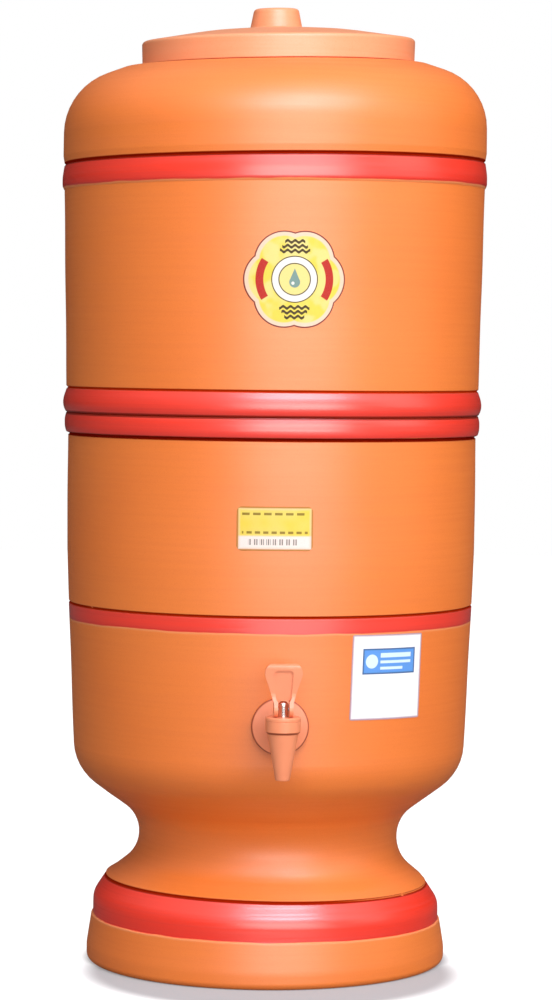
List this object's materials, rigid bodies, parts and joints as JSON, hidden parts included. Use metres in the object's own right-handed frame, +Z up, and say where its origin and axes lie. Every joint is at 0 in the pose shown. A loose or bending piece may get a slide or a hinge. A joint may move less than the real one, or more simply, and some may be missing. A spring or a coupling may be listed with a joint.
{
  "type": "clay water filter pot with tap",
  "caption": "Footed clay water filter: a lidded upper chamber with a ceramic candle and float valve on a lower chamber with a plastic lever tap.",
  "frame": {"origin": "centre of the foot's resting ring, on the pot's axis at floor level", "axes": "+Z up along the pot's axis; -Y out through the tap; +X to the right of someone facing the tap"},
  "size_m": [0.2532, 0.2864, 0.5699],
  "materials": {
    "clay": "satin",
    "clay_lid": "satin",
    "candle_ceramic": "matte",
    "carbon": "matte",
    "white_plastic": "satin",
    "float_foam": "matte",
    "rubber": "matte",
    "silicone": "satin",
    "tap_plastic": "satin",
    "chrome": "polished",
    "steel": "satin",
    "badge_paper": "gloss",
    "info_paper": "satin",
    "rating_paper": "satin"
  },
  "bodies": {
    "lower_pot": {"lower_chamber": "clay", "tap_body": "tap_plastic", "tap_outer_gasket": "rubber", "tap_inner_gasket": "rubber", "tap_nut": "tap_plastic", "tap_bonnet": "tap_plastic", "tap_stem_washer": "rubber", "tap_spring": "steel", "info_label": "info_paper", "rating_label": "rating_paper"},
    "upper_pot": {"upper_chamber": "clay", "candle_shell": "candle_ceramic", "candle_core": "carbon", "candle_base": "white_plastic", "candle_gasket": "rubber", "candle_washer": "rubber", "candle_nut": "white_plastic", "float_valve_body": "white_plastic", "float_pin": "steel", "round_label": "badge_paper"},
    "lid": {"lid": "clay_lid"},
    "float": {"float_arm": "white_plastic", "float_ball": "float_foam", "float_pad": "rubber"},
    "tap_stem": {"tap_stem": "chrome", "tap_pin": "steel", "tap_seat_cup": "silicone"},
    "tap_lever": {"tap_lever": "tap_plastic"}
  },
  "joints": [
    {"name": "upper_chamber_lift", "type": "slide", "parent": "lower_pot", "child": "upper_pot", "axis": [0, 0, 1], "range_m": [0, 0.12]},
    {"name": "lid_lift", "type": "slide", "parent": "upper_pot", "child": "lid", "axis": [0, 0, 1], "range_m": [0, 0.08]},
    {"name": "float_swing", "type": "hinge", "parent": "upper_pot", "child": "float", "pos_m": [0, -0.013, 0.2878], "axis": [1, 0, 0], "range_deg": [0, 28]},
    {"name": "tap_lever_tilt", "type": "hinge", "parent": "tap_stem", "child": "tap_lever", "pos_m": [0, -0.14995, 0.16675], "axis": [1, 0, 0], "range_deg": [0, 60]},
    {"name": "tap_stem_lift", "type": "slide", "parent": "lower_pot", "child": "tap_stem", "axis": [0, 0, 1], "range_m": [0, 0.00376], "stiffness_N_per_m": 110, "springref_m": -0.009, "deforming": ["tap_spring"]}
  ],
  "couplings": [
    {"joint": "tap_lever_tilt", "follows": "tap_stem_lift", "rad_per_m": 278}
  ]
}
